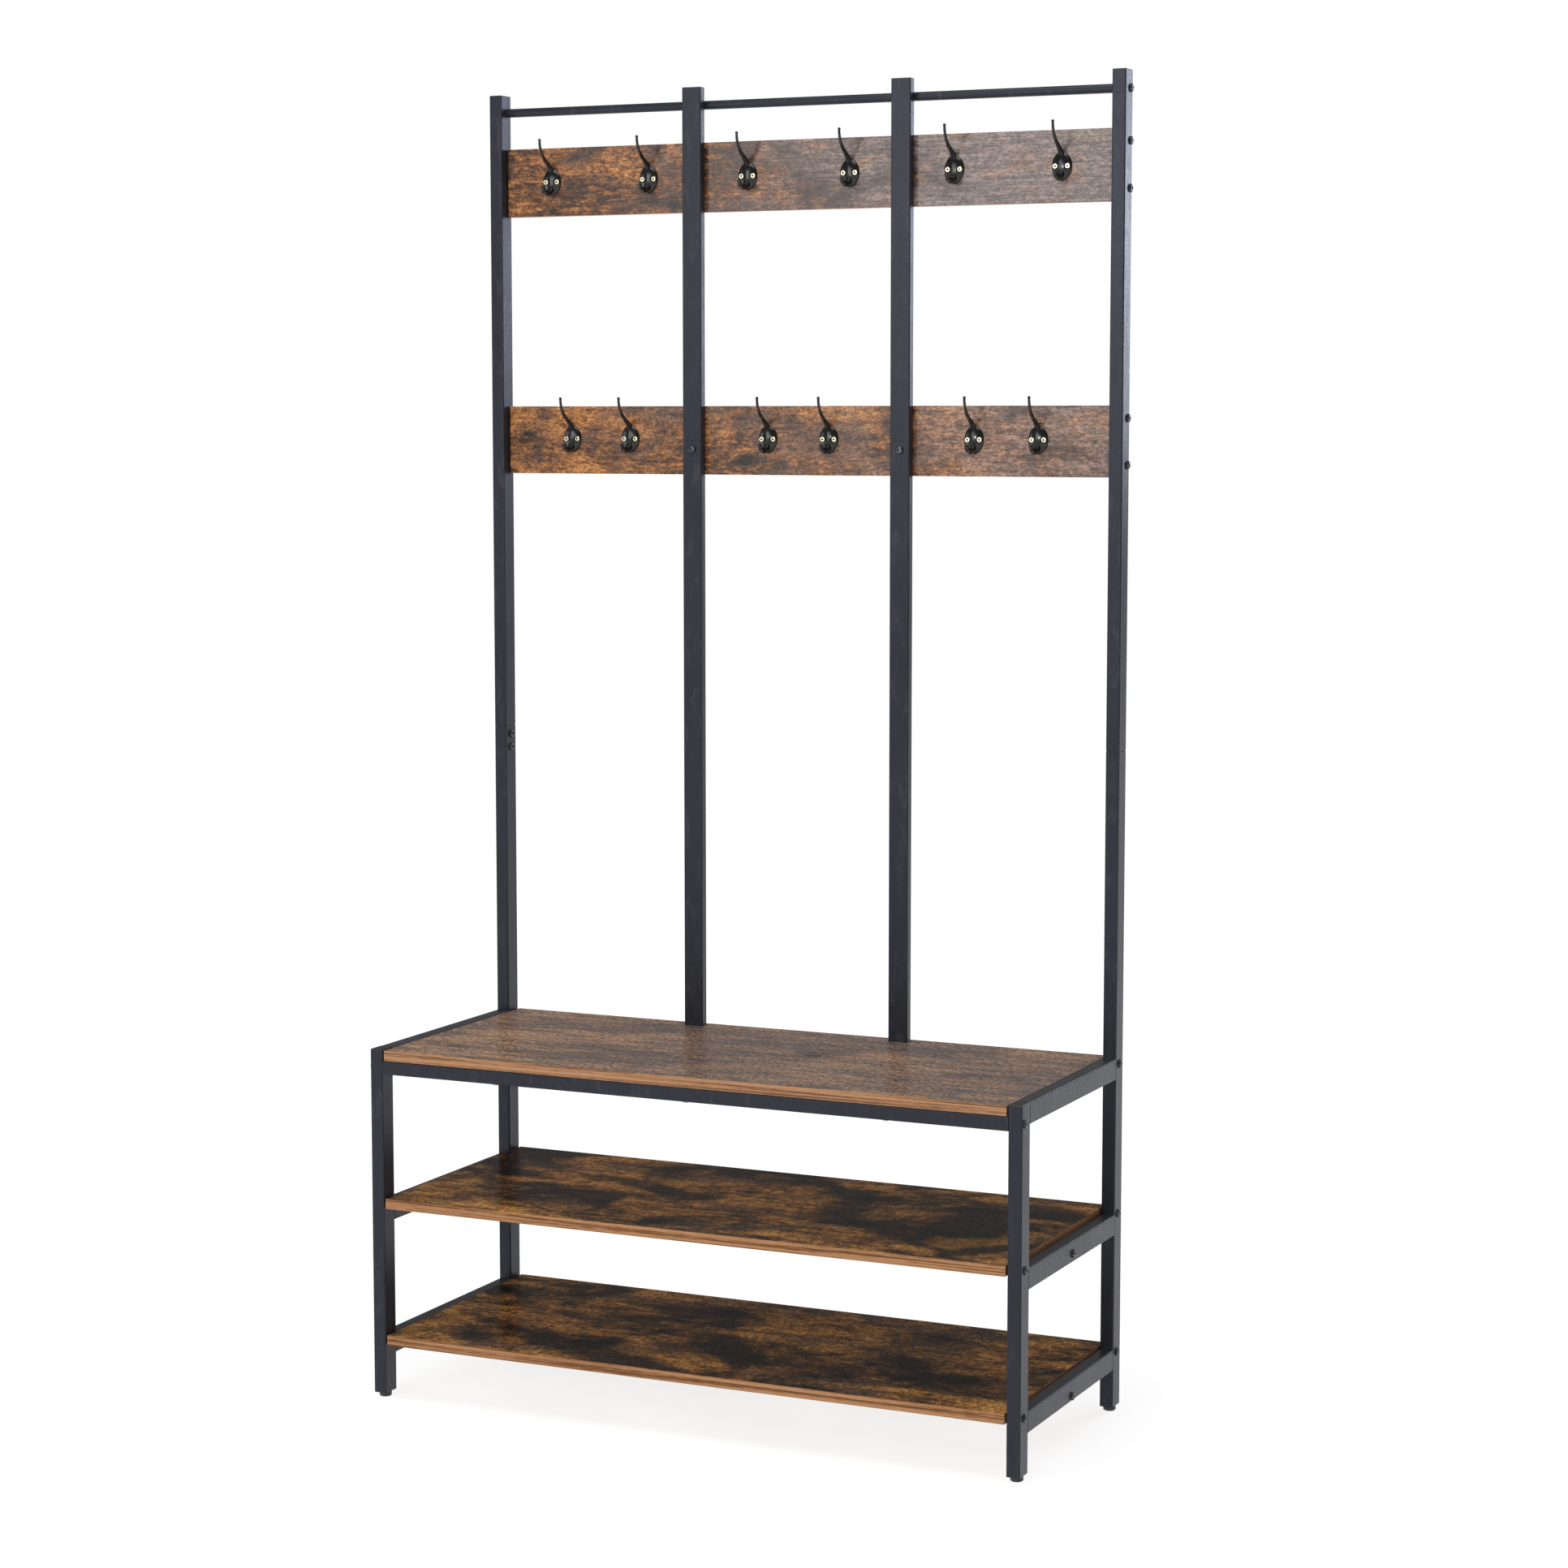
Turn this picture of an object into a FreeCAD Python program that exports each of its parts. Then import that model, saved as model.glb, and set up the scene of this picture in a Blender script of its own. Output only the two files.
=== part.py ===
"""Hall tree: two welded side frames carry a seat, two shelves, two hook boards and a hanging rod.

Millimetres. X is the width, -Y is the front, +Z is up. The origin is on the floor at the middle of the
footprint. Every separate piece is written to parts/ as its own STEP file.
"""
import FreeCAD
import Part
import math
import os

Vec = FreeCAD.Vector

# Overall
WIDTH = 1000.0
DEPTH = 400.0
HEIGHT = 1890.0
FOOT_GAP = 8.0                  # underside of the legs above the floor

# Steel tube
POST_X = 20.0                   # outer posts and legs, across the width
POST_Y = 30.0                   # outer posts and legs, front to back
WALL = 1.2
CORNER_R = 2.0
RAIL_HEIGHT = 30.0              # side rails are the post tube laid on edge
BAR = 20.0                      # square tube of the front rail and the shelf crossbars
MULLION_X = 30.0                # the two middle posts, across the width
MULLION_Y = 15.0
MULLION_CENTRE = 165.0          # middle posts, either side of the centre
SEAM_GAP = 0.8                  # visible joint between an upper and a lower post
FIT = 0.1                       # clearance per side of a plug or sleeve in its tube
OVER = 1.0                      # how far a cutter runs past what it cuts

CAP = 1.5                       # thickness of the plastic end caps
CAP_STUB = 12.0
CAP_EDGE = 0.5

# Heights above the floor
SEAT_TOP = 511.0
LEG_TOP = 512.0
SHELF_TOPS = {"upper": 295.0, "lower": 94.0}
SHELF_RAIL_TOPS = {"upper": 288.0, "lower": 92.0}
OUTER_SEAM = 948.0
SPLICE_BOLT_DROPS = (12.0, 32.0)    # below the outer seam
MULLION_BOLT_DROP = 13.0        # below the middle posts' seam
SLEEVE_OUTER = 80.0
SLEEVE_OUTER_WALL = 2.0
SLEEVE_MULLION = 66.0
SLEEVE_MULLION_WALL = 1.5
HOOK_BOARD_CENTRES = {"upper": 1761.0, "lower": 1380.0}
ROD_HEIGHT = 1865.0

# Boards
BOARD = 15.0
BOARD_END_GAP = 2.5             # between a board's end and the steel beside it
BOARD_EDGE = 0.8                # softened board edges
HOOK_BOARD_HEIGHT = 100.0
HOOK_BOARD_BOLT_HALF = 32.5     # end bolts above and below the middle of a hook board

# Hanging rod
ROD_R = 6.35
ROD_WALL = 1.2
ROD_GAP = 0.2                   # behind the middle posts
ROD_NUT_FIT = 0.05

# Button-head bolts, M6
BOLT_R = 3.0
BOLT_HOLE_R = 3.3
BOLT_HEAD_R = 6.0
BOLT_HEAD_H = 3.2
SOCKET_ACROSS = 4.0
SOCKET_DEPTH = 2.0
TAP_R = 3.05                    # bore of every nut and insert, thread not cut

# Threaded inserts and nuts
INSERT_R = 4.5
INSERT_LENGTH = 18.0
BOLT_TIP_ROOM = 4.0             # drilled past an insert
MIDDLE_INSERT_LENGTH = 12.0     # in the lower hook board, behind each middle post
NUT_LENGTH = 16.0
NUT_BOLT_SHORT = 2.0            # a bolt stops this far inside its nut
SPLICE_BOLT_LENGTH = 7.0
SEAM_BOLT_REACH = 11.0          # into the lower hook board
FOOT_BOLT_REACH = 12.0          # into the nut at the foot of a middle post

# Wood screws
REAR_SCREW_R = 2.0              # from behind, through the upper hook board
REAR_SCREW_HEAD_R = 4.0
REAR_SCREW_HEAD_H = 2.5
REAR_SCREW_REACH = 5.0          # into the middle post
REAR_SCREW_HALF = 30.0          # above and below the middle of the board
SEAT_SCREW_XS = (-300.0, 0.0, 300.0)
SEAT_SCREW_R = 2.0              # up through the front rail
SEAT_SCREW_HEAD_R = 4.0
SEAT_SCREW_HEAD_H = 2.4
SEAT_SCREW_DEPTH = 10.0

# Hooks
HOOK_PITCH_UPPER = 161.0        # six evenly spaced hooks on the upper board
HOOK_BAY_CENTRE = 322.0         # the lower hooks sit in pairs, one pair to a bay
HOOK_PAIR_HALF = 48.5
HOOK_LIFT = {"upper": 0.0, "lower": 2.0}
PLATE_HALF_X = 15.0
PLATE_HALF_Z = 21.0
PLATE_DOME = 7.1
PLATE_RIDGE = 3.0               # offset of the two domes that meet in the ridge down the plate
HOOK_SCREW_X = 9.0
HOOK_SCREW_R = 1.75
HOOK_SCREW_HOLE_R = 1.9
HOOK_SCREW_HEAD_R = 4.1
HOOK_SCREW_HEAD_H = 2.2
HOOK_SCREW_EDGE = 1.2           # rounding of the head
HOOK_SCREW_DEPTH = 11.0
HOOK_SCREW_SLOT = (4.4, 1.3)    # arms of the cross recess
RECESS_FLOOR = 2.2
RECESS_R = 4.6
# Prongs through (forward, up, radius), from the middle of the plate's back
UPPER_PRONG = [(1.5, 15.5, 4.2), (7.0, 21.0, 3.9), (14.0, 26.0, 3.2), (22.0, 30.8, 2.7),
               (29.5, 37.0, 2.35), (35.0, 44.5, 2.1), (38.0, 53.0, 1.9), (38.5, 59.0, 1.8)]
UPPER_BEAD = 2.2
LOWER_PRONG = [(2.0, -9.0, 4.8), (8.0, -14.0, 5.2), (15.0, -16.5, 4.4), (22.0, -16.0, 3.6),
               (27.3, -13.2, 3.0), (29.5, -9.5, 2.6)]
LOWER_BEAD = 3.0

# Levelling feet
FOOT_R = 9.0
FOOT_EDGE = 2.5
FOOT_STEM_R = 3.0
FOOT_STEM_TOP = 34.0
FOOT_CLEARANCE = 0.3            # between the foot's pad and the leg above it

# Worked out from the above
OUT_X = WIDTH / 2
IN_X = OUT_X - POST_X
LEG_X = OUT_X - POST_X / 2
FRONT = -DEPTH / 2
BACK = DEPTH / 2
FRONT_LEG_Y = FRONT + POST_Y / 2
BACK_POST_Y = BACK - POST_Y / 2
POST_FRONT = BACK - POST_Y
MULLION_Y_CENTRE = POST_FRONT + MULLION_Y / 2
HOOK_BOARD_FRONT = POST_FRONT + MULLION_Y
HOOK_BOARD_Y = HOOK_BOARD_FRONT + BOARD / 2
BOARD_END = IN_X - BOARD_END_GAP
ROD_Y = HOOK_BOARD_FRONT + ROD_R + ROD_GAP
SEAT_BOTTOM = SEAT_TOP - BOARD
FRONT_RAIL_Y = FRONT + BAR / 2
FRONT_RAIL_Z = SEAT_BOTTOM - BAR / 2
MULLION_SEAM = HOOK_BOARD_CENTRES["lower"]
MULLION_BOLT_Z = MULLION_SEAM - MULLION_BOLT_DROP
REAR_SCREW_Z = [HOOK_BOARD_CENTRES["upper"] + half for half in (-REAR_SCREW_HALF, REAR_SCREW_HALF)]
SIDES = {"left": -1, "right": 1}
MIDDLE_XS = [side * MULLION_CENTRE for side in SIDES.values()]
LEG_PLACES = {"front": FRONT_LEG_Y, "rear": BACK_POST_Y}
AXES = {"x": Vec(1, 0, 0), "y": Vec(0, 1, 0), "z": Vec(0, 0, 1)}

os.makedirs("parts", exist_ok=True)


def save(name, *solids):
    """Write one node: a single solid, or a group of separate ones."""
    shape = solids[0] if len(solids) == 1 else Part.makeCompound(list(solids))
    shape.exportStep(f"parts/{name}.step")


def rounded_face(a, b, radius):
    """A rounded rectangle a by b about the origin, in the XY plane."""
    if radius <= 0:
        signs = ((-1, -1), (1, -1), (1, 1), (-1, 1), (-1, -1))
        return Part.Face(Part.makePolygon([Vec(i * a / 2, j * b / 2, 0) for i, j in signs]))
    edges = []
    for quarter in range(4):
        turn = FreeCAD.Rotation(Vec(0, 0, 1), 90 * quarter)
        half_run, half_side = ((b, a), (a, b))[quarter % 2]
        start = Vec(half_side / 2, -half_run / 2 + radius, 0)
        end = Vec(half_side / 2, half_run / 2 - radius, 0)
        centre = end - Vec(radius, 0, 0)
        knee = centre + Vec(radius * math.cos(math.pi / 4), radius * math.sin(math.pi / 4), 0)
        finish = centre + Vec(0, radius, 0)
        points = [turn.multVec(p) for p in (start, end, knee, finish)]
        edges.append(Part.makeLine(points[0], points[1]))
        edges.append(Part.Arc(points[1], points[2], points[3]).toShape())
    return Part.Face(Part.Wire(edges))


def along(shape, axis):
    """Turn a shape that was made along Z so that it runs along the named axis.

    The second size of its section ends up vertical for a shape along Y, and the first for one along X.
    """
    turned = shape.copy()
    turned.Placement = FreeCAD.Placement(Vec(), FreeCAD.Rotation(AXES["z"], AXES[axis])) * shape.Placement
    return turned


def bar(axis, centre, length, a, b, radius=0.0):
    """A solid bar of section a by b about its centre."""
    solid = rounded_face(a, b, radius).extrude(Vec(0, 0, length))
    solid.translate(Vec(0, 0, -length / 2))
    solid = along(solid, axis)
    solid.translate(Vec(*centre))
    return solid


def tube(axis, centre, length, a, b, wall=WALL):
    """A rectangular tube with rounded corners."""
    inner = bar(axis, centre, length + 2 * OVER, a - 2 * wall, b - 2 * wall, CORNER_R - wall)
    return bar(axis, centre, length, a, b, CORNER_R).cut(inner)


def rod(axis, start, length, radius):
    """A cylinder from a start point, along the named axis; a negative length runs backwards."""
    direction = AXES[axis] * math.copysign(1, length)
    return Part.makeCylinder(radius, abs(length), Vec(*start), direction)


def drill(solid, *cutters):
    """Remove a list of cutters from a solid."""
    return solid.cut(Part.makeCompound(list(cutters)))


def plug(axis, centre, length, a, b, less=0.0):
    """A bar that slides inside a tube of section a by b, or less than that by the amount given."""
    shrink = 2 * (WALL + FIT + less)
    return bar(axis, centre, length, a - shrink, b - shrink, max(CORNER_R - WALL - less, 0.0))


def board(y0, y1, z0, z1):
    """A flat board with softened edges, between the side frames."""
    solid = Part.makeBox(2 * BOARD_END, y1 - y0, z1 - z0, Vec(-BOARD_END, y0, z0))
    return solid.makeFillet(BOARD_EDGE, solid.Edges)


def hexagon(across, depth):
    """A hexagonal prism up from the origin, sized across its flats."""
    corner = across / 2 / math.cos(math.pi / 6)
    points = [Vec(corner * math.cos(math.pi * k / 3), corner * math.sin(math.pi * k / 3), 0) for k in range(7)]
    return Part.Face(Part.makePolygon(points)).extrude(Vec(0, 0, depth))


def bolt(seat, direction, length):
    """A button-head bolt: its head stands on the seat point and its shank runs along the direction."""
    head = rod("z", (0, 0, 0), -BOLT_HEAD_H, BOLT_HEAD_R)
    rim = [e for e in head.Edges if e.Closed and e.BoundBox.ZMax < -BOLT_HEAD_H / 2]
    head = head.makeFillet(BOLT_HEAD_H * 0.75, rim)
    socket = hexagon(SOCKET_ACROSS, SOCKET_DEPTH)
    socket.translate(Vec(0, 0, -BOLT_HEAD_H))
    shank = rod("z", (0, 0, 0), length, BOLT_R)
    solid = head.cut(socket).fuse(shank).removeSplitter()
    solid.Placement = FreeCAD.Placement(Vec(*seat), FreeCAD.Rotation(Vec(0, 0, 1), Vec(*direction)))
    return solid


def insert(start, axis, length):
    """A threaded insert with a plain bore, from its open face inwards."""
    return rod(axis, start, length, INSERT_R).cut(rod(axis, start, length, TAP_R))


def end_nut(face, axis, inward, a, b):
    """A block that plugs the end of a tube and takes a bolt or foot stem along its middle."""
    centre = Vec(*face) + AXES[axis] * (inward * NUT_LENGTH / 2)
    block = plug(axis, centre, NUT_LENGTH, a, b)
    start = Vec(*face) - AXES[axis] * (inward * OVER)
    return block.cut(rod(axis, start, inward * (NUT_LENGTH + 2 * OVER), TAP_R))


def cap(centre_x, centre_y, top, a, b):
    """A flat plastic end cap with a stub inside the tube."""
    plate = bar("z", (centre_x, centre_y, top - CAP / 2), CAP, a, b, CORNER_R)
    rim = [e for e in plate.Edges if e.BoundBox.ZMin > top - CAP / 2]
    plate = plate.makeChamfer(CAP_EDGE, rim)
    return plate.fuse(plug("z", (centre_x, centre_y, top - CAP - CAP_STUB / 2), CAP_STUB, a, b))


# Places of the bolts that go in from each side, as (y, z)
HOOK_BOARD_BOLTS = {
    level: [(HOOK_BOARD_Y, centre - HOOK_BOARD_BOLT_HALF), (HOOK_BOARD_Y, centre + HOOK_BOARD_BOLT_HALF)]
    for level, centre in HOOK_BOARD_CENTRES.items()
}
SHELF_BOLTS = {
    level: [(FRONT_LEG_Y, top - BOARD / 2), (BACK_POST_Y, top - BOARD / 2)]
    for level, top in SHELF_TOPS.items()
}
SEAT_BOLT = (BACK_POST_Y, SEAT_TOP - BOARD / 2)
FRONT_RAIL_BOLT = (FRONT_RAIL_Y, FRONT_RAIL_Z)
ROD_BOLT = (ROD_Y, ROD_HEIGHT)
CROSSBAR_Z = {level: top - BOARD - BAR / 2 for level, top in SHELF_TOPS.items()}


def side_holes(side, places):
    """Clearance holes right through a side tube, for bolts that go in along X."""
    length = POST_X + 2 * OVER
    return [rod("x", (side * (OUT_X + OVER), y, z), -side * length, BOLT_HOLE_R) for y, z in places]


# Side frames: front legs, lower posts, side rails and upper posts
def front_leg(side):
    top = LEG_TOP - CAP
    solid = tube("z", (side * LEG_X, FRONT_LEG_Y, (FOOT_GAP + top) / 2), top - FOOT_GAP, POST_X, POST_Y)
    places = [FRONT_RAIL_BOLT] + [SHELF_BOLTS[level][0] for level in SHELF_TOPS]
    return drill(solid, *side_holes(side, places))


def lower_post(side):
    top = OUTER_SEAM - SEAM_GAP / 2
    solid = tube("z", (side * LEG_X, BACK_POST_Y, (FOOT_GAP + top) / 2), top - FOOT_GAP, POST_X, POST_Y)
    places = [SEAT_BOLT] + [SHELF_BOLTS[level][1] for level in SHELF_TOPS]
    splice = [
        rod("x", (side * (IN_X - OVER), BACK_POST_Y, OUTER_SEAM - drop), side * POST_X / 2, BOLT_HOLE_R)
        for drop in SPLICE_BOLT_DROPS
    ]
    return drill(solid, *side_holes(side, places), *splice)


def upper_post(side):
    bottom = OUTER_SEAM + SEAM_GAP / 2
    top = HEIGHT - CAP
    solid = tube("z", (side * LEG_X, BACK_POST_Y, (bottom + top) / 2), top - bottom, POST_X, POST_Y)
    places = [ROD_BOLT] + [place for pair in HOOK_BOARD_BOLTS.values() for place in pair]
    return drill(solid, *side_holes(side, places))


def side_rail(side, top, bolt_z=None):
    length = DEPTH - 2 * POST_Y
    solid = tube("y", (side * LEG_X, 0, top - RAIL_HEIGHT / 2), length, POST_X, RAIL_HEIGHT)
    if bolt_z is None:
        return solid
    return drill(solid, *side_holes(side, [(0, bolt_z)]))


for name, side in SIDES.items():
    save(f"front_leg_{name}", front_leg(side))
    save(f"lower_post_{name}", lower_post(side))
    save(f"upper_post_{name}", upper_post(side))
    save(f"seat_side_rail_{name}", side_rail(side, LEG_TOP))
    for level, rail_top in SHELF_RAIL_TOPS.items():
        save(f"{level}_shelf_side_rail_{name}", side_rail(side, rail_top, CROSSBAR_Z[level]))


# Splices between the lower and upper outer posts
def outer_sleeve(side):
    centre = (side * LEG_X, BACK_POST_Y, OUTER_SEAM)
    solid = plug("z", centre, SLEEVE_OUTER, POST_X, POST_Y)
    hollow = plug("z", centre, SLEEVE_OUTER + 2 * OVER, POST_X, POST_Y, SLEEVE_OUTER_WALL)
    taps = [
        rod("x", (side * IN_X, BACK_POST_Y, OUTER_SEAM - drop), side * POST_X / 2, TAP_R)
        for drop in SPLICE_BOLT_DROPS
    ]
    return drill(solid, hollow, *taps)


def splice_bolts(side):
    return [
        bolt((side * IN_X, BACK_POST_Y, OUTER_SEAM - drop), (side, 0, 0), SPLICE_BOLT_LENGTH)
        for drop in SPLICE_BOLT_DROPS
    ]


save("outer_splice_sleeves", *[outer_sleeve(side) for side in SIDES.values()])
save("outer_splice_bolts", *[piece for side in SIDES.values() for piece in splice_bolts(side)])


# Middle posts
def mullion(x, bottom, top):
    centre = (x, MULLION_Y_CENTRE, (bottom + top) / 2)
    return tube("z", centre, top - bottom, MULLION_X, MULLION_Y)


def mullion_sleeve(x):
    centre = (x, MULLION_Y_CENTRE, MULLION_SEAM)
    solid = plug("z", centre, SLEEVE_MULLION, MULLION_X, MULLION_Y)
    hollow = plug("z", centre, SLEEVE_MULLION + 2 * OVER, MULLION_X, MULLION_Y, SLEEVE_MULLION_WALL)
    return drill(solid, hollow, seam_bolt_hole(x))


def seam_bolt_hole(x):
    """The hole right through a middle post, just below its seam."""
    return rod("y", (x, POST_FRONT - OVER, MULLION_BOLT_Z), MULLION_Y + 2 * OVER, BOLT_HOLE_R)


def lower_mullion(x):
    return drill(mullion(x, SEAT_TOP, MULLION_SEAM - SEAM_GAP / 2), seam_bolt_hole(x))


def upper_mullion(x):
    solid = mullion(x, MULLION_SEAM + SEAM_GAP / 2, HEIGHT - CAP)
    holes = [
        rod("y", (x, HOOK_BOARD_FRONT + OVER, z), -MULLION_Y / 2, REAR_SCREW_R)
        for z in REAR_SCREW_Z
    ]
    return drill(solid, *holes)


def rear_screw(x, z):
    """A countersunk screw through the board from behind, into the middle post."""
    head = Part.makeCone(REAR_SCREW_HEAD_R, REAR_SCREW_R, REAR_SCREW_HEAD_H, Vec(x, BACK, z), Vec(0, -1, 0))
    length = BOARD + REAR_SCREW_REACH - REAR_SCREW_HEAD_H
    return head.fuse(rod("y", (x, BACK - REAR_SCREW_HEAD_H, z), -length, REAR_SCREW_R))


def seam_bolt(x):
    return bolt((x, POST_FRONT, MULLION_BOLT_Z), (0, 1, 0), MULLION_Y + SEAM_BOLT_REACH)


def foot_bolt(x):
    return bolt((x, MULLION_Y_CENTRE, SEAT_BOTTOM), (0, 0, 1), BOARD + FOOT_BOLT_REACH)


def foot_nut(x):
    return end_nut((x, MULLION_Y_CENTRE, SEAT_TOP), "z", 1, MULLION_X, MULLION_Y)


for name, x in zip(SIDES, MIDDLE_XS):
    save(f"middle_post_lower_{name}", lower_mullion(x))
    save(f"middle_post_upper_{name}", upper_mullion(x))
save("middle_splice_sleeves", *[mullion_sleeve(x) for x in MIDDLE_XS])
save("middle_splice_bolts", *[seam_bolt(x) for x in MIDDLE_XS])
save("middle_post_foot_nuts", *[foot_nut(x) for x in MIDDLE_XS])
save("middle_post_foot_bolts", *[foot_bolt(x) for x in MIDDLE_XS])
save("rear_board_screws", *[rear_screw(x, z) for x in MIDDLE_XS for z in REAR_SCREW_Z])


# Seat rail, shelf crossbars and the nuts in their ends
def crossbar(y, z):
    return tube("x", (0, y, z), 2 * IN_X, BAR, BAR)


def front_rail():
    """The bar under the front of the seat, with the holes for the seat screws."""
    holes = [
        rod("z", (x, FRONT_RAIL_Y, FRONT_RAIL_Z - BAR), 2 * BAR, SEAT_SCREW_R + FIT)
        for x in SEAT_SCREW_XS
    ]
    return drill(crossbar(*FRONT_RAIL_BOLT), *holes)


def bar_nut(side, y, z):
    return end_nut((side * IN_X, y, z), "x", -side, BAR, BAR)


def nut_bolt(side, y, z):
    """A bolt through a side tube into the nut in the end of a bar or of the rod."""
    return bolt((side * OUT_X, y, z), (-side, 0, 0), POST_X + NUT_LENGTH - NUT_BOLT_SHORT)


def seat_screw(x):
    """A pan-head screw up through the front rail into the seat."""
    under = FRONT_RAIL_Z - BAR / 2
    shank = rod("z", (x, FRONT_RAIL_Y, under), BAR + SEAT_SCREW_DEPTH, SEAT_SCREW_R)
    return shank.fuse(rod("z", (x, FRONT_RAIL_Y, under), -SEAT_SCREW_HEAD_H, SEAT_SCREW_HEAD_R))


BAR_ENDS = [
    (side, y, z)
    for side in SIDES.values()
    for y, z in [FRONT_RAIL_BOLT] + [(0, height) for height in CROSSBAR_Z.values()]
]
save("seat_front_rail", front_rail())
for level, z in CROSSBAR_Z.items():
    save(f"{level}_shelf_crossbar", crossbar(0, z))
save("crossbar_end_nuts", *[bar_nut(*end) for end in BAR_ENDS])
save("crossbar_bolts", *[nut_bolt(*end) for end in BAR_ENDS])
save("seat_screws", *[seat_screw(x) for x in SEAT_SCREW_XS])


# Boards
def end_pockets(places):
    """Pockets for the inserts in both ends of a board, with room for the bolt tips."""
    pockets = []
    for side in SIDES.values():
        for y, z in places:
            start = (side * (BOARD_END + OVER), y, z)
            pockets.append(rod("x", start, -side * (INSERT_LENGTH + OVER), INSERT_R))
            pockets.append(rod("x", start, -side * (INSERT_LENGTH + OVER + BOLT_TIP_ROOM), BOLT_HOLE_R))
    return pockets


def end_inserts(places):
    return [
        insert((side * BOARD_END, y, z), "x", -side * INSERT_LENGTH)
        for side in SIDES.values() for y, z in places
    ]


def end_bolts(places):
    """Bolts through both side tubes, over the end gap and to the bottom of the inserts."""
    reach = POST_X + BOARD_END_GAP + INSERT_LENGTH
    return [
        bolt((side * OUT_X, y, z), (-side, 0, 0), reach)
        for side in SIDES.values() for y, z in places
    ]


def hook_places(level):
    """Centres of the hooks' back plates, as (x, z), from left to right."""
    z = HOOK_BOARD_CENTRES[level] + HOOK_LIFT[level]
    if level == "upper":
        return [(HOOK_PITCH_UPPER * (k - 2.5), z) for k in range(6)]
    return [(bay * HOOK_BAY_CENTRE + half * HOOK_PAIR_HALF, z) for bay in (-1, 0, 1) for half in (-1, 1)]


def hook_board(level):
    centre = HOOK_BOARD_CENTRES[level]
    half = HOOK_BOARD_HEIGHT / 2
    solid = board(HOOK_BOARD_FRONT, BACK, centre - half, centre + half)
    face = HOOK_BOARD_FRONT - OVER
    pilots = [
        rod("y", (x + side * HOOK_SCREW_X, face, z), HOOK_SCREW_DEPTH + 2 * OVER, HOOK_SCREW_R)
        for x, z in hook_places(level) for side in SIDES.values()
    ]
    if level == "upper":
        fixings = [rear_screw(x, z) for x in MIDDLE_XS for z in REAR_SCREW_Z]
    else:
        fixings = [rod("y", (x, face, MULLION_BOLT_Z), MIDDLE_INSERT_LENGTH + OVER, INSERT_R) for x in MIDDLE_XS]
    return drill(solid, *end_pockets(HOOK_BOARD_BOLTS[level]), *pilots, *fixings)


def seat_board():
    solid = board(FRONT, BACK, SEAT_BOTTOM, SEAT_TOP)
    under = SEAT_BOTTOM - OVER
    holes = [rod("z", (x, MULLION_Y_CENTRE, under), BOARD + 2 * OVER, BOLT_HOLE_R) for x in MIDDLE_XS]
    pilots = [rod("z", (x, FRONT_RAIL_Y, under), SEAT_SCREW_DEPTH + OVER, SEAT_SCREW_R) for x in SEAT_SCREW_XS]
    return drill(solid, *end_pockets([SEAT_BOLT]), *holes, *pilots)


def shelf_board(level):
    top = SHELF_TOPS[level]
    return drill(board(FRONT, BACK, top - BOARD, top), *end_pockets(SHELF_BOLTS[level]))


save("seat_board", seat_board())
for level in SHELF_TOPS:
    save(f"{level}_shelf_board", shelf_board(level))
    save(f"{level}_hook_board", hook_board(level))

SHELF_PLACES = [SEAT_BOLT] + SHELF_BOLTS["upper"] + SHELF_BOLTS["lower"]
HOOK_BOARD_PLACES = HOOK_BOARD_BOLTS["upper"] + HOOK_BOARD_BOLTS["lower"]
middle_inserts = [insert((x, HOOK_BOARD_FRONT, MULLION_BOLT_Z), "y", MIDDLE_INSERT_LENGTH) for x in MIDDLE_XS]
save("board_inserts", *end_inserts(SHELF_PLACES + HOOK_BOARD_PLACES), *middle_inserts)
save("shelf_end_bolts", *end_bolts(SHELF_PLACES))
save("hook_board_end_bolts", *end_bolts(HOOK_BOARD_PLACES))

# Hanging rod
def rod_nut(side):
    start = (side * IN_X, ROD_Y, ROD_HEIGHT)
    blank = rod("x", start, -side * NUT_LENGTH, ROD_R - ROD_WALL - ROD_NUT_FIT)
    return blank.cut(rod("x", start, -side * NUT_LENGTH, TAP_R))


def rod_tube():
    start = (-IN_X, ROD_Y, ROD_HEIGHT)
    return rod("x", start, 2 * IN_X, ROD_R).cut(rod("x", start, 2 * IN_X, ROD_R - ROD_WALL))


save("hanging_rod", rod_tube())
save("rod_end_nuts", *[rod_nut(side) for side in SIDES.values()])
save("rod_bolts", *[nut_bolt(side, *ROD_BOLT) for side in SIDES.values()])


# Hooks: made about the centre of the back plate's rear face, forward is -Y
def prong(stations, bead):
    """A tapered round bar through (forward, up, radius) stations, ending in a bead."""
    rings = []
    for index, (forward, up, radius) in enumerate(stations):
        before = stations[max(index - 1, 0)]
        after = stations[min(index + 1, len(stations) - 1)]
        heading = Vec(0, before[0] - after[0], after[1] - before[1])
        rings.append(Part.Wire(Part.makeCircle(radius, Vec(0, -forward, up), heading)))
    body = Part.makeLoft(rings, True)
    forward, up, _ = stations[-1]
    return body.fuse(Part.makeSphere(bead, Vec(0, -forward, up)))


def ahead(reach):
    """Everything in front of the board's face, as far as the reach on every side."""
    return Part.makeBox(2 * reach, reach, 2 * reach, Vec(-reach, -reach, -reach))


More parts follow.
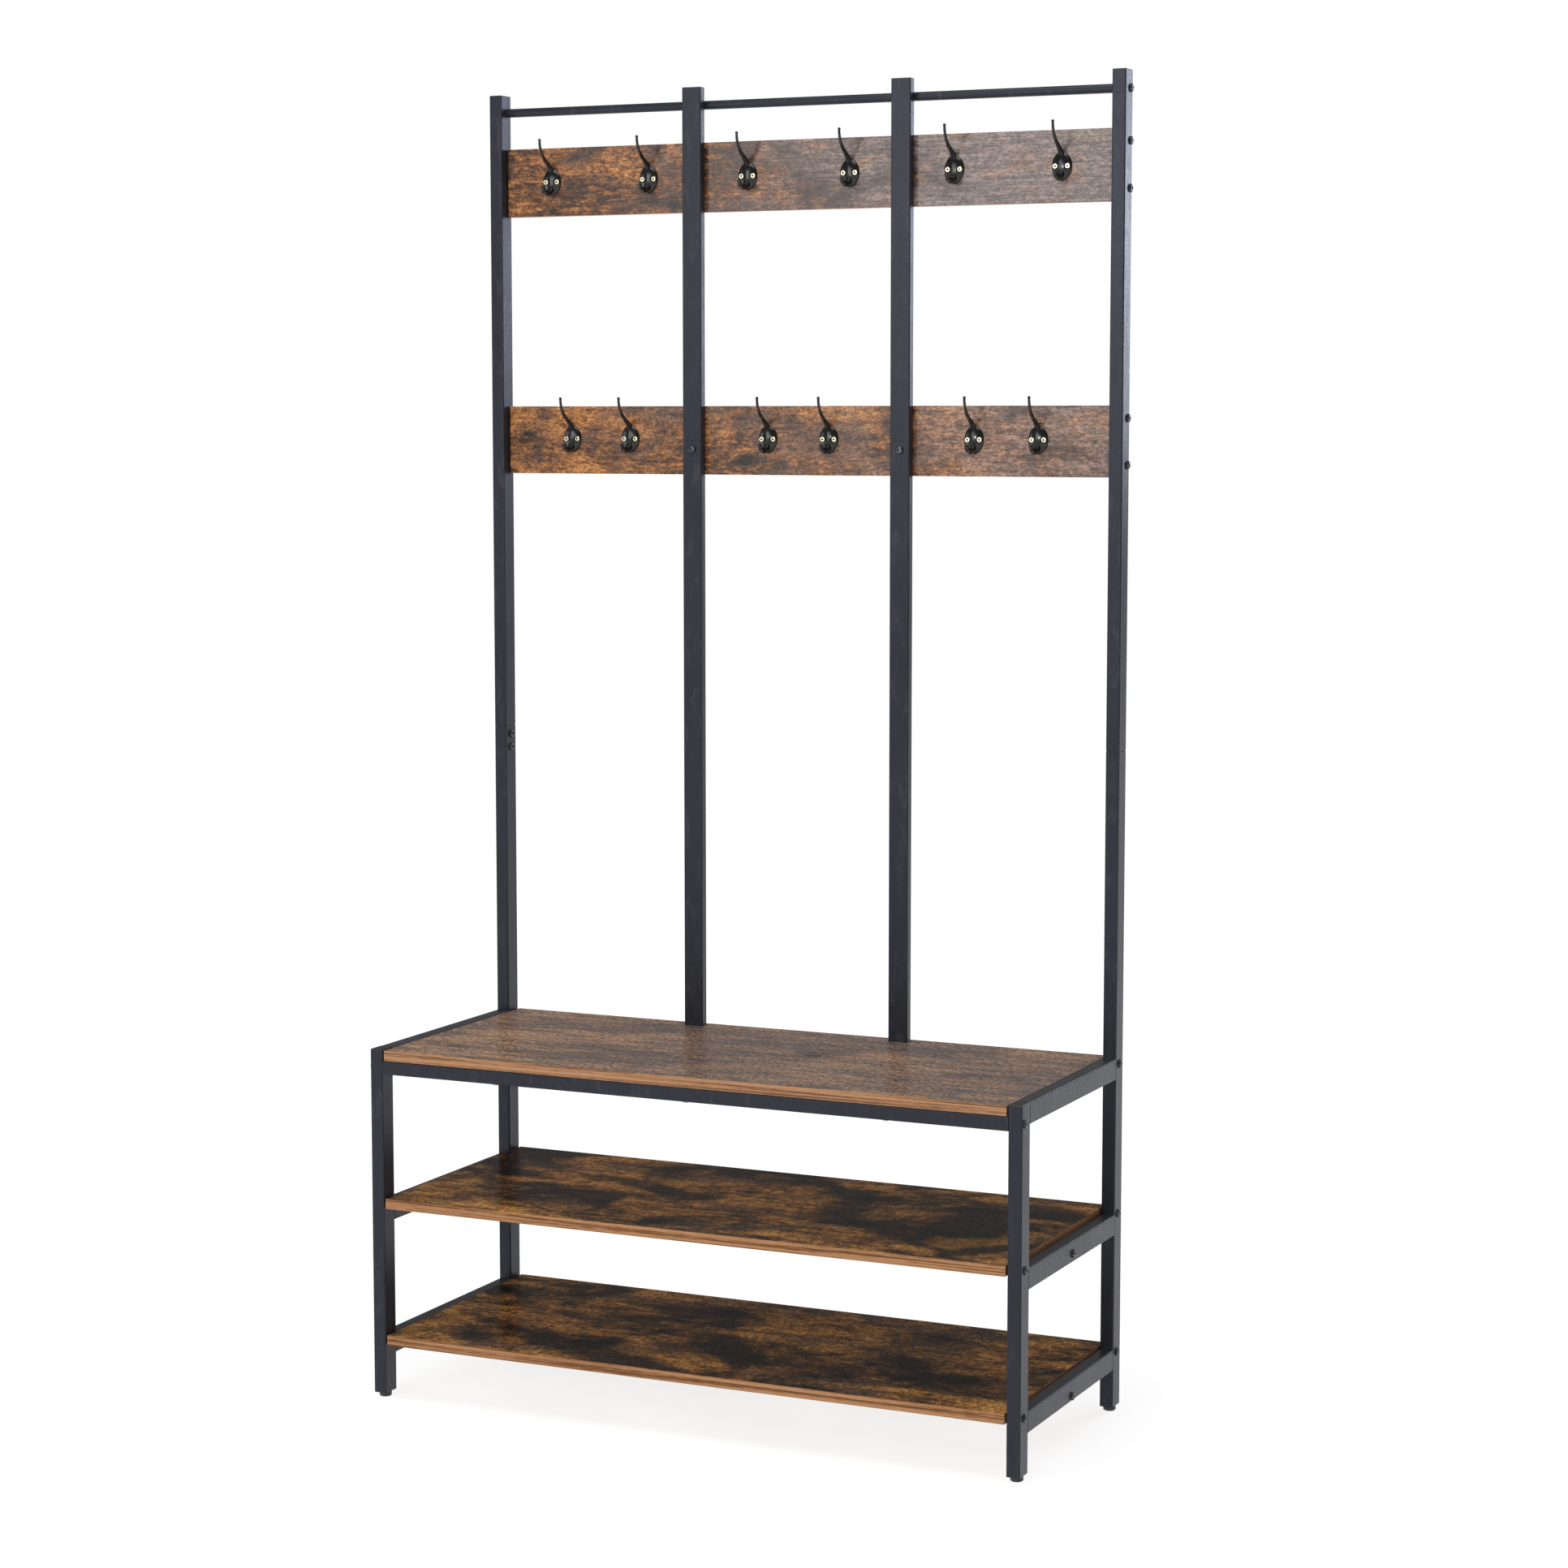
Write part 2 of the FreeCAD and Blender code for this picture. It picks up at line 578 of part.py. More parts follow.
def plate():
    """An oval dome with a soft ridge down its middle, where two wider domes meet."""
    domes = []
    for side in SIDES.values():
        stretch = FreeCAD.Matrix()
        stretch.scale(PLATE_HALF_X + PLATE_RIDGE, PLATE_DOME, PLATE_HALF_Z)
        dome = Part.makeSphere(1.0).transformGeometry(stretch)
        dome.translate(Vec(side * PLATE_RIDGE, 0, 0))
        domes.append(dome)
    return domes[0].common(domes[1])


def hook():
    body = plate().fuse([prong(UPPER_PRONG, UPPER_BEAD), prong(LOWER_PRONG, LOWER_BEAD)])
    body = body.common(ahead(HOOK_BOARD_HEIGHT))
    for side in SIDES.values():
        x = side * HOOK_SCREW_X
        body = body.cut(rod("y", (x, -RECESS_FLOOR, 0), -2 * PLATE_DOME, RECESS_R))
        body = body.cut(rod("y", (x, OVER, 0), -2 * PLATE_DOME, HOOK_SCREW_HOLE_R))
    return body.removeSplitter()


def hook_screw():
    top = -RECESS_FLOOR - HOOK_SCREW_HEAD_H
    head = rod("y", (0, -RECESS_FLOOR, 0), -HOOK_SCREW_HEAD_H, HOOK_SCREW_HEAD_R)
    rim = [e for e in head.Edges if e.Closed and e.BoundBox.YMax < -RECESS_FLOOR - HOOK_SCREW_HEAD_H / 2]
    head = head.makeFillet(HOOK_SCREW_EDGE, rim)
    long, wide = HOOK_SCREW_SLOT
    slots = [bar("y", (0, top, 0), HOOK_SCREW_HEAD_H, *size) for size in ((long, wide), (wide, long))]
    shank = rod("y", (0, -RECESS_FLOOR, 0), RECESS_FLOOR + HOOK_SCREW_DEPTH, HOOK_SCREW_R)
    return head.cut(Part.makeCompound(slots)).fuse(shank)


def placed(shape, x, z):
    moved = shape.copy()
    moved.translate(Vec(x, HOOK_BOARD_FRONT, z))
    return moved


hook_shape = hook()
screw_shape = hook_screw()
hook_screws = []
for level in HOOK_BOARD_CENTRES:
    for number, (x, z) in enumerate(hook_places(level), start=1):
        save(f"hook_{level}_{number}", placed(hook_shape, x, z))
        hook_screws += [placed(screw_shape, x + side * HOOK_SCREW_X, z) for side in SIDES.values()]
save("hook_screws", *hook_screws)

# Caps
save("post_caps",
     *[cap(side * LEG_X, BACK_POST_Y, HEIGHT, POST_X, POST_Y) for side in SIDES.values()],
     *[cap(side * LEG_X, FRONT_LEG_Y, LEG_TOP, POST_X, POST_Y) for side in SIDES.values()])
save("middle_post_caps", *[cap(x, MULLION_Y_CENTRE, HEIGHT, MULLION_X, MULLION_Y) for x in MIDDLE_XS])


# Feet
def levelling_foot(x, y):
    pad_top = FOOT_GAP - FOOT_CLEARANCE
    pad = rod("z", (x, y, 0), pad_top, FOOT_R)
    rim = [e for e in pad.Edges if e.Closed and e.BoundBox.ZMax < pad_top / 2]
    pad = pad.makeFillet(FOOT_EDGE, rim)
    return pad.fuse(rod("z", (x, y, pad_top), FOOT_STEM_TOP - pad_top, FOOT_STEM_R))


def leg_nut(side, y):
    return end_nut((side * LEG_X, y, FOOT_GAP), "z", 1, POST_X, POST_Y)


save("foot_nuts", *[leg_nut(side, y) for side in SIDES.values() for y in LEG_PLACES.values()])
for end, y in LEG_PLACES.items():
    for name, side in SIDES.items():
        save(f"levelling_foot_{end}_{name}", levelling_foot(side * LEG_X, y))
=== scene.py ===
import math
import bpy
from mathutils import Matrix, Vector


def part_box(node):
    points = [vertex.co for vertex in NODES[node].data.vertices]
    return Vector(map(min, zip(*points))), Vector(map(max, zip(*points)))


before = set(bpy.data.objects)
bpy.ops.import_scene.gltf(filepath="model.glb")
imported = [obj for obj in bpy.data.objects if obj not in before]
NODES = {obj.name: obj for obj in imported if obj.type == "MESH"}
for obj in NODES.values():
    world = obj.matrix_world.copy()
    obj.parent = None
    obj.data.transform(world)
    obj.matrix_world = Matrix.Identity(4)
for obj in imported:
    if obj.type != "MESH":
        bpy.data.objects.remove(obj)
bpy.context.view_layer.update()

from types import SimpleNamespace

import bmesh
import bpy
from mathutils import Vector


# ---------------------------------------------------------------- node graphs


class Graph:
    """One material's node tree, with a Principled shader at its end."""

    def __init__(self, name, **sockets):
        self.material = bpy.data.materials.new(name)
        self.material.use_nodes = True
        self.tree = self.material.node_tree
        self.tree.nodes.clear()
        self.shader = self.new("ShaderNodeBsdfPrincipled")
        output = self.new("ShaderNodeOutputMaterial")
        self.tree.links.new(self.shader.outputs["BSDF"], output.inputs["Surface"])
        for socket, value in sockets.items():
            self.set(self.shader.inputs[socket.replace("_", " ")], value)

    def new(self, kind, **settings):
        """Add a node of this kind."""
        node = self.tree.nodes.new(kind)
        for key, value in settings.items():
            setattr(node, key, value)
        return node

    def set(self, socket, value):
        """Link a node's output to the socket, or give the socket a plain value."""
        if isinstance(value, bpy.types.NodeSocket):
            self.tree.links.new(value, socket)
        elif isinstance(value, tuple) and len(value) == 3 and socket.type == "RGBA":
            socket.default_value = (*value, 1.0)
        else:
            socket.default_value = value

    def place(self, stretch=(1.0, 1.0, 1.0), shift=(0.0, 0.0, 0.0)):
        """The point on the object in metres, times stretch on each axis, plus shift."""
        mapping = self.new("ShaderNodeMapping")
        self.set(mapping.inputs["Vector"], self.new("ShaderNodeTexCoord").outputs["Object"])
        self.set(mapping.inputs["Scale"], stretch)
        self.set(mapping.inputs["Location"], shift)
        return mapping.outputs["Vector"]

    def along(self, axis, vector):
        """One axis of a vector."""
        node = self.new("ShaderNodeSeparateXYZ")
        self.set(node.inputs[0], vector)
        return node.outputs[axis]

    def facing(self, axis):
        """How far the surface faces along an axis, from -1 to 1."""
        return self.along(axis, self.new("ShaderNodeNewGeometry").outputs["Normal"])

    def length(self, vector):
        """The length of a vector."""
        node = self.new("ShaderNodeVectorMath", operation="LENGTH")
        self.set(node.inputs[0], vector)
        return node.outputs["Value"]

    def noise(self, stretch, seed, detail=3.0, roughness=0.55, distortion=0.0):
        """Smooth noise, about 0.3 to 0.7, with features 1 / stretch metres long."""
        node = self.new("ShaderNodeTexNoise")
        self.set(node.inputs["Vector"], self.place(stretch, (seed * 3.7, seed * 1.9, seed * 5.3)))
        self.set(node.inputs["Scale"], 1.0)
        self.set(node.inputs["Detail"], detail)
        self.set(node.inputs["Roughness"], roughness)
        self.set(node.inputs["Distortion"], distortion)
        return node.outputs["Fac"]

    def remap(self, value, low, high, to_low=0.0, to_high=1.0):
        """A smooth step from to_low, where value is low, to to_high, where it is high."""
        node = self.new("ShaderNodeMapRange", interpolation_type="SMOOTHSTEP")
        for socket, given in zip(("Value", "From Min", "From Max", "To Min", "To Max"),
                                 (value, low, high, to_low, to_high)):
            self.set(node.inputs[socket], given)
        return node.outputs["Result"]

    def compute(self, operation, a, b=0.0):
        """One step of arithmetic on a, or on a and b."""
        node = self.new("ShaderNodeMath", operation=operation)
        self.set(node.inputs[0], a)
        self.set(node.inputs[1], b)
        return node.outputs[0]

    def weigh(self, *pairs):
        """The sum of each value times its weight."""
        total = None
        for value, weight in pairs:
            term = self.compute("MULTIPLY", value, weight)
            total = term if total is None else self.compute("ADD", total, term)
        return total

    def vary(self, middle, *pairs):
        """A value that wanders about middle, by each noise times its weight."""
        return self.compute("ADD", self.weigh(*pairs), middle - mean_weight(pairs))

    def mix(self, share, a, b, blend="MIX"):
        """Colour a, with a share of colour b mixed or multiplied in."""
        node = self.new("ShaderNodeMix", data_type="RGBA", blend_type=blend, clamp_factor=True)
        self.set(node.inputs[0], share)
        self.set(node.inputs[6], a)
        self.set(node.inputs[7], b)
        return node.outputs[2]

    def ramp(self, value, stops):
        """The colour for a value from 0 to 1, from a list of (position, colour)."""
        node = self.new("ShaderNodeValToRGB")
        elements = node.color_ramp.elements
        while len(elements) < len(stops):
            elements.new(0.5)
        for element, (position, colour) in zip(elements, stops):
            element.position = position
            element.color = (*colour, 1.0)
        self.set(node.inputs["Fac"], value)
        return node.outputs["Color"]

    def surface(self, colour, roughness):
        """Give the shader its colour and its roughness."""
        self.set(self.shader.inputs["Base Color"], colour)
        self.set(self.shader.inputs["Roughness"], roughness)

    def bump(self, height, strength, distance):
        """Raise the surface where height is high."""
        node = self.new("ShaderNodeBump")
        self.set(node.inputs["Height"], height)
        self.set(node.inputs["Strength"], strength)
        self.set(node.inputs["Distance"], distance)
        self.set(self.shader.inputs["Normal"], node.outputs["Normal"])


def mean_weight(pairs):
    """The weighted sum of noises whose mean is one half."""
    return sum(weight for _, weight in pairs) / 2


# ---------------------------------------------------------------- boards

DEPTH_AXIS = 1
HEIGHT_AXIS = 2
CHARCOAL = (0.014, 0.013, 0.012)
UMBER = (0.040, 0.024, 0.016)
DUSK = (0.085, 0.060, 0.052)
TAUPE = (0.112, 0.084, 0.078)
MAUVE = (0.240, 0.184, 0.172)
WHITE = (1.0, 1.0, 1.0)
DOT_SHADE = (0.36, 0.36, 0.37)
PRINT_LIFT = (1.50, 1.49, 1.46)     # makes up for what the fine dots darken
# The print's ground, from its darkest tone to its lightest
RUSSET = [(0.0, (0.046, 0.026, 0.017)), (0.34, (0.114, 0.050, 0.024)),
          (0.72, (0.255, 0.100, 0.030)), (1.0, (0.430, 0.185, 0.058))]
GOLDEN = [(0.0, (0.036, 0.022, 0.013)), (0.30, (0.114, 0.056, 0.022)),
          (0.68, (0.345, 0.155, 0.037)), (1.0, (0.590, 0.285, 0.075))]
WALNUT = [(0.0, (0.046, 0.030, 0.023)), (0.34, (0.160, 0.094, 0.064)),
          (0.72, (0.370, 0.196, 0.102)), (1.0, (0.580, 0.320, 0.155))]
EDGE_BAND = [(0.0, (0.150, 0.068, 0.030)), (0.45, (0.355, 0.170, 0.078)), (1.0, (0.450, 0.235, 0.118))]
TONE_SPREAD = 0.14                  # either side of the middle tone, from darkest ground to lightest
SMUDGE_START = 0.72
SMUDGE_FADE = 0.14
KNOT_ALONG = 0.55                   # a knot's width over its length along the grain
KNOT_RINGS = 15.0                   # radians of ring for each knot radius outward


def shared_grain(g, seed):
    """The noises that a board's layers share, from broad patches down to hairs along the grain."""
    return SimpleNamespace(
        patches=g.noise((6.5, 15.0, 15.0), seed, detail=6.0, roughness=0.62, distortion=0.9),
        strokes=g.noise((8.0, 75.0, 75.0), seed + 11, detail=5.0, roughness=0.64, distortion=0.5),
        mottle=g.noise((75.0, 130.0, 130.0), seed + 3, detail=6.0, roughness=0.74, distortion=0.6),
        streaks=g.noise((15.0, 190.0, 190.0), seed + 1, detail=5.0, roughness=0.68),
        lines=g.noise((46.0, 560.0, 560.0), seed + 2, detail=3.0, roughness=0.6),
        hairs=g.noise((26.0, 520.0, 520.0), seed + 5, detail=3.0, roughness=0.7, distortion=0.2),
    )


def ground_print(g, grain, ground, weights, warmth):
    """The ground, brown to amber. The weights are for blotches, strokes and spots."""
    blotch, stroke, spots = weights
    layers = [(grain.patches, blotch), (grain.strokes, stroke), (grain.mottle, spots),
              (grain.streaks, 0.30), (grain.lines, 0.16)]
    middle = mean_weight(layers) - warmth
    return g.ramp(g.remap(g.weigh(*layers), middle - TONE_SPREAD, middle + TONE_SPREAD), ground)


def dusk_haze(g, grain, seed, colour):
    """Dull brown patches that drift over the ground."""
    haze = g.noise((5.0, 12.0, 12.0), seed + 7, detail=5.0, roughness=0.6, distortion=0.4)
    share = g.remap(g.weigh((haze, 1.0), (grain.streaks, 0.25)), 0.60, 0.74, 0.0, 0.65)
    return g.mix(share, colour, DUSK)


def smudges(g, grain, seed, smudge, shade, colour):
    """Dark smudges with feathered edges. A higher smudge covers more of the board."""
    cloud = g.noise((5.6, 6.6, 6.6), seed + 4, detail=7.0, roughness=0.56, distortion=0.45)
    feather = g.weigh((cloud, 1.0), (grain.streaks, 0.12), (grain.mottle, 0.12), (grain.strokes, 0.06))
    edge = SMUDGE_START - smudge
    return g.mix(g.remap(feather, edge, edge + SMUDGE_FADE, 0.0, 0.94), colour, shade)


def mauve_wash_and_painted_reflection(g, grain, seed, mauve, ground, colour):
    """Greyed mauve-brown that grows from one x to another, with some of the ground left in it: partly the
    print's colour and partly a painted reflection, a pale sheen of the front light.
    """
    start, end, most = mauve
    sway = g.weigh((g.along("X", g.place()), 1.0), (g.compute("SUBTRACT", grain.patches, 0.5), 1.4))
    wave = g.noise((11.0, 330.0, 330.0), seed + 10, detail=4.0, roughness=0.62, distortion=0.5)
    fine = g.weigh((wave, 0.62), (grain.mottle, 0.38))
    greyed = g.mix(g.remap(fine, 0.42, 0.57), TAUPE, MAUVE)
    wash = g.mix(g.remap(grain.patches, 0.52, 0.66, 0.0, 0.45), greyed, ground)
    # Partly painted reflection: the greyed wash rises along x from start to end.
    return g.mix(g.remap(sway, start, end, 0.0, most), colour, wash)


def knot_field(g, knots, across, middle):
    """Distance from the nearest knot in knot radii, drawn out along the grain, with a wandering outline."""
    nearest = None
    for x, side, size in knots:
        centre = Vector((x, 0.0, 0.0))
        centre[across] = middle[across] + side
        stretch = Vector((KNOT_ALONG / size, 0.0, 0.0))
        stretch[across] = 1.0 / size
        distance = g.length(g.place(stretch, -centre * stretch))
        nearest = distance if nearest is None else g.compute("MINIMUM", nearest, distance)
    wander = g.noise((14.0, 30.0, 30.0), 8.0, detail=4.0)
    return g.compute("ADD", nearest, g.compute("MULTIPLY", g.compute("SUBTRACT", wander, 0.5), 1.6))


def knot_marks(g, field, colour):
    """Brown rings that fade outward, around charcoal hearts."""
    rings = g.compute("SINE", g.compute("MULTIPLY", field, KNOT_RINGS))
    near = g.remap(field, 0.55, 1.5, 1.0, 0.0)
    ringed = g.compute("MULTIPLY", near, g.remap(rings, -0.2, 0.9, 0.15, 0.75))
    colour = g.mix(ringed, colour, UMBER)
    return g.mix(g.remap(field, 0.15, 0.62, 0.92, 0.0), colour, CHARCOAL)


def fine_marks(g, grain, seed, speck, colour):
    """Dark hairs along the grain, and the print's fine dots."""
    colour = g.mix(g.remap(grain.hairs, 0.55, 0.66, 0.0, 0.70), colour, CHARCOAL)
    dots = g.noise(speck, seed + 9, detail=2.0, roughness=0.7)
    dim = g.ramp(g.remap(dots, 0.34, 0.66), [(0.0, DOT_SHADE), (1.0, WHITE)])
    return g.mix(1.0, g.mix(1.0, colour, PRINT_LIFT, "MULTIPLY"), dim, "MULTIPLY")


def board_material(name, seed, across, ground, shade, weights, speck, smudge, warmth, mauve, knots,
                   specular, roughness):
    """Printed rustic board: mottled brown and amber, charcoal smudges, knots, and a tan band on its edges."""
    g = Graph(name + "_print", Specular_IOR_Level=specular)
    grain = shared_grain(g, seed)
    ground_colour = ground_print(g, grain, ground, weights, warmth)
    colour = dusk_haze(g, grain, seed, ground_colour)
    colour = smudges(g, grain, seed, smudge, shade, colour)
    if mauve:
        colour = mauve_wash_and_painted_reflection(g, grain, seed, mauve, ground_colour, colour)
    low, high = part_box(name)
    colour = knot_marks(g, knot_field(g, knots, across, (low + high) / 2), colour)
    colour = fine_marks(g, grain, seed, speck, colour)

    broad_side = {DEPTH_AXIS: "Z", HEIGHT_AXIS: "Y"}[across]
    on_edge = g.remap(g.compute("ABSOLUTE", g.facing(broad_side)), 0.55, 0.80, 1.0, 0.0)
    band_streaks = g.noise((2.6, 420.0, 420.0), seed + 6, detail=3.0, distortion=0.3)
    band_grain = g.weigh((band_streaks, 0.75), (grain.lines, 0.25))
    band = g.ramp(g.remap(band_grain, 0.40, 0.60), EDGE_BAND)

    duller_edge = g.compute("MULTIPLY", on_edge, 0.20)
    sheen = g.vary(roughness, (grain.streaks, 0.10), (grain.mottle, 0.10))
    g.surface(g.mix(on_edge, colour, band), g.compute("ADD", sheen, duller_edge))
    g.bump(g.weigh((grain.lines, 0.6), (grain.streaks, 0.4), (grain.hairs, -0.5)), 0.16, 0.0006)
    return g.material


# ---------------------------------------------------------------- paint, metal and plastic


def powder_coat():
    """Satin charcoal powder coat: fine orange peel, soft rub marks, and a little dust on what faces up."""
    g = Graph("frame_powder_coat", Specular_IOR_Level=0.30, Specular_Tint=(0.76, 0.81, 1.0))
    peel = g.noise((520.0, 520.0, 520.0), 1.0, detail=2.0)
    drift = g.noise((9.0, 9.0, 4.0), 2.0, detail=4.0)
    rub = g.noise((70.0, 70.0, 22.0), 3.0, detail=6.0, roughness=0.7, distortion=0.6)
    base = g.mix(drift, (0.0150, 0.0155, 0.0195), (0.0225, 0.0232, 0.0285))
    scuffed = g.mix(g.remap(rub, 0.50, 0.72, 0.0, 0.6), base, (0.050, 0.051, 0.059))
    grit = g.remap(peel, 0.45, 0.65, 0.05, 0.30)
    dust = g.compute("MULTIPLY", g.remap(g.facing("Z"), 0.75, 1.0), grit)
    dusted = g.mix(dust, scuffed, (0.11, 0.11, 0.115))
    g.surface(dusted, g.vary(0.34, (drift, 0.16), (rub, 0.20), (peel, 0.32)))
    g.bump(g.weigh((peel, 1.0), (drift, 0.4)), 0.07, 0.0004)
    return g.material


def enamel():
    """Glossy black enamel over a cast hook: soft casting waves and fine specks."""
    g = Graph("hook_enamel_black", Specular_IOR_Level=0.42, Coat_Weight=0.15, Coat_Roughness=0.08)
    waves = g.noise((120.0, 120.0, 120.0), 4.0, detail=2.0)
    specks = g.noise((900.0, 900.0, 900.0), 5.0, detail=3.0)
    base = g.mix(waves, (0.0030, 0.0030, 0.0032), (0.0065, 0.0063, 0.0062))
    speckled = g.mix(g.remap(specks, 0.64, 0.74, 0.0, 0.3), base, (0.030, 0.029, 0.028))
    g.surface(speckled, g.vary(0.22, (waves, 0.24), (specks, 0.20)))
    g.bump(g.weigh((waves, 1.0), (specks, 0.08)), 0.22, 0.0009)
    return g.material


def plated(name, light, dark, roughness, face=None):
    """Plated or blackened steel: cloudy, with turning marks, and painted shade in recesses behind y = face.
    """
    g = Graph(name, Metallic=1.0)
    cloud = g.noise((260.0, 260.0, 260.0), 6.0, detail=4.0)
    marks = g.noise((2400.0, 2400.0, 400.0), 7.0, detail=2.0)
    colour = g.mix(g.remap(cloud, 0.35, 0.65), dark, light)
    if face:
        # Painted shade: the screw slots and the rim, deeper than the head's top at y = face, are darkened as
        # shaded recesses.
        painted_recess_shade = g.remap(g.along("Y", g.place()), face + 0.0004, face + 0.0008)
        colour = g.mix(painted_recess_shade, colour, (0.020, 0.018, 0.014))
    g.surface(colour, g.vary(roughness, (marks, 0.22), (cloud, 0.10)))
    g.bump(marks, 0.10, 0.0002)
    return g.material


def black_plastic():
    """Moulded black plastic: fine spark-eroded grain, with scuffed patches."""
    g = Graph("moulded_black_plastic", Specular_IOR_Level=0.45)
    grain = g.noise((1300.0, 1300.0, 1300.0), 9.0, detail=2.0)
    scuff = g.noise((85.0, 85.0, 85.0), 10.0, detail=5.0, roughness=0.7)
    base = g.mix(scuff, (0.0130, 0.0135, 0.0150), (0.0240, 0.0245, 0.0265))
    scuffed = g.mix(g.remap(scuff, 0.60, 0.70, 0.0, 0.5), base, (0.045, 0.045, 0.048))
    g.surface(scuffed, g.vary(0.40, (scuff, 0.50), (grain, 0.30)))
    g.bump(grain, 0.25, 0.0003)
    return g.material


# ---------------------------------------------------------------- materials on the pieces

SCREW_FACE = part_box("hook_screws")[0].y

SLOT_MATERIALS = {
    "frame_paint": powder_coat(),
    "hook_enamel": enamel(),
    "brass_screw": plated("brass_plate", (0.90, 0.85, 0.66), (0.70, 0.62, 0.42), 0.34, SCREW_FACE),
    "black_bolt": plated("black_oxide_steel", (0.105, 0.106, 0.114), (0.040, 0.041, 0.046), 0.32),
    "zinc_hardware": plated("zinc_plate", (0.62, 0.64, 0.66), (0.42, 0.44, 0.47), 0.34),
    "black_plastic": black_plastic(),
}
# Boards by node. Mauve is (x where it starts, x where it is full, its share there) of a greyed wash that is
# partly print and partly painted reflection. Knots are (x, place across the grain from the board's middle,
# radius).
HOOK_BOARD = dict(across=HEIGHT_AXIS, ground=RUSSET, shade=(0.062, 0.040, 0.033),
                  weights=(0.60, 0.25, 0.62), speck=(190.0, 360.0, 360.0), specular=0.45, roughness=0.24)
SHELF = dict(across=DEPTH_AXIS, ground=GOLDEN, shade=CHARCOAL, weights=(0.75, 0.25, 0.42),
             speck=(170.0, 110.0, 110.0), mauve=None, specular=0.025, roughness=0.22)
SEAT = dict(SHELF, ground=WALNUT, shade=(0.060, 0.044, 0.037), weights=(0.55, 0.75, 0.30),
            specular=0.22, roughness=0.28)
BOARDS = {
    "upper_hook_board": dict(HOOK_BOARD, seed=11.0, smudge=0.060, warmth=-0.01, mauve=(-0.14, 0.28, 0.88),
                             knots=[(-0.20, -0.039, 0.012)]),
    "lower_hook_board": dict(HOOK_BOARD, seed=23.0, smudge=0.040, warmth=0.045, mauve=(0.08, 0.44, 0.72),
                             knots=[(-0.445, 0.008, 0.013), (-0.085, -0.030, 0.016)]),
    "seat_board": dict(SEAT, seed=37.0, smudge=0.010, warmth=0.08, mauve=(-1.30, 0.35, 0.64),
                       knots=[(0.10, 0.02, 0.016)]),
    "upper_shelf_board": dict(SHELF, seed=41.0, smudge=0.130, warmth=0.05,
                              knots=[(-0.02, 0.06, 0.016), (-0.30, -0.02, 0.018)]),
    "lower_shelf_board": dict(SHELF, seed=59.0, smudge=0.125, warmth=0.03,
                              knots=[(-0.13, 0.05, 0.018), (0.22, -0.05, 0.014)]),
}

for name, node in NODES.items():
    # The sleeves take the frame's paint, so that the seams look dark.
    slot_name = "frame_paint" if name.endswith("splice_sleeves") else node.data.materials[0].name
    if name in BOARDS:
        node.data.materials[0] = board_material(name, **BOARDS[name])
    else:
        node.data.materials[0] = SLOT_MATERIALS[slot_name]


# ---------------------------------------------------------------- stage

FLOOR_HALF = 14.0
FLOOR_GLOW = [(0.0, (0.82, 0.82, 0.82)), (1.0, (0.97, 0.97, 0.97))]
GLOW_NEAR = 0.8                     # metres from the middle of the hall tree
GLOW_FAR = 3.2
BACKDROP_LIGHT = 0.20
BACKDROP_SHOWN = 1.0

CAMERA_PLACE = (2.108, -4.436, 1.413)
CAMERA_DOWN = 5.996                 # degrees below level
CAMERA_TURN = 24.759                # degrees to the left of straight back
CAMERA_SENSOR = 36.0
CAMERA_LENS = 80.06

COOL_WHITE = (0.92, 0.95, 1.0)
COOLER_WHITE = (0.90, 0.93, 1.0)
BLUE_WHITE = (0.80, 0.85, 1.0)
# Softboxes: place, target, width, height, watts and colour
LIGHTS = {
    "key_front": ((0.1, -5.2, 1.95), (0.0, 0.0, 1.3), 0.30, 0.30, 42.0, WHITE),
    "softbox_front": ((-1.35, -4.3, 2.35), (0.1, 0.0, 1.3), 2.0, 1.9, 44.0, WHITE),
    "fill_left": ((-4.0, -1.6, 1.5), (0.0, 0.0, 0.9), 2.0, 2.4, 26.0, WHITE),
    "softbox_top": ((0.3, -0.8, 4.2), (0.0, 0.0, 0.8), 3.0, 2.0, 62.0, WHITE),
    "rim_right": ((1.75, 3.7, 2.4), (0.2, 0.0, 1.4), 0.8, 2.2, 40.0, BLUE_WHITE),
    "side_left": ((-4.4, 0.6, 1.7), (-0.4, 0.0, 1.1), 1.4, 2.6, 22.0, COOLER_WHITE),
    "strip_right": ((3.7, -1.3, 1.2), (0.0, 0.0, 1.1), 0.35, 2.6, 3.0, COOL_WHITE),
}


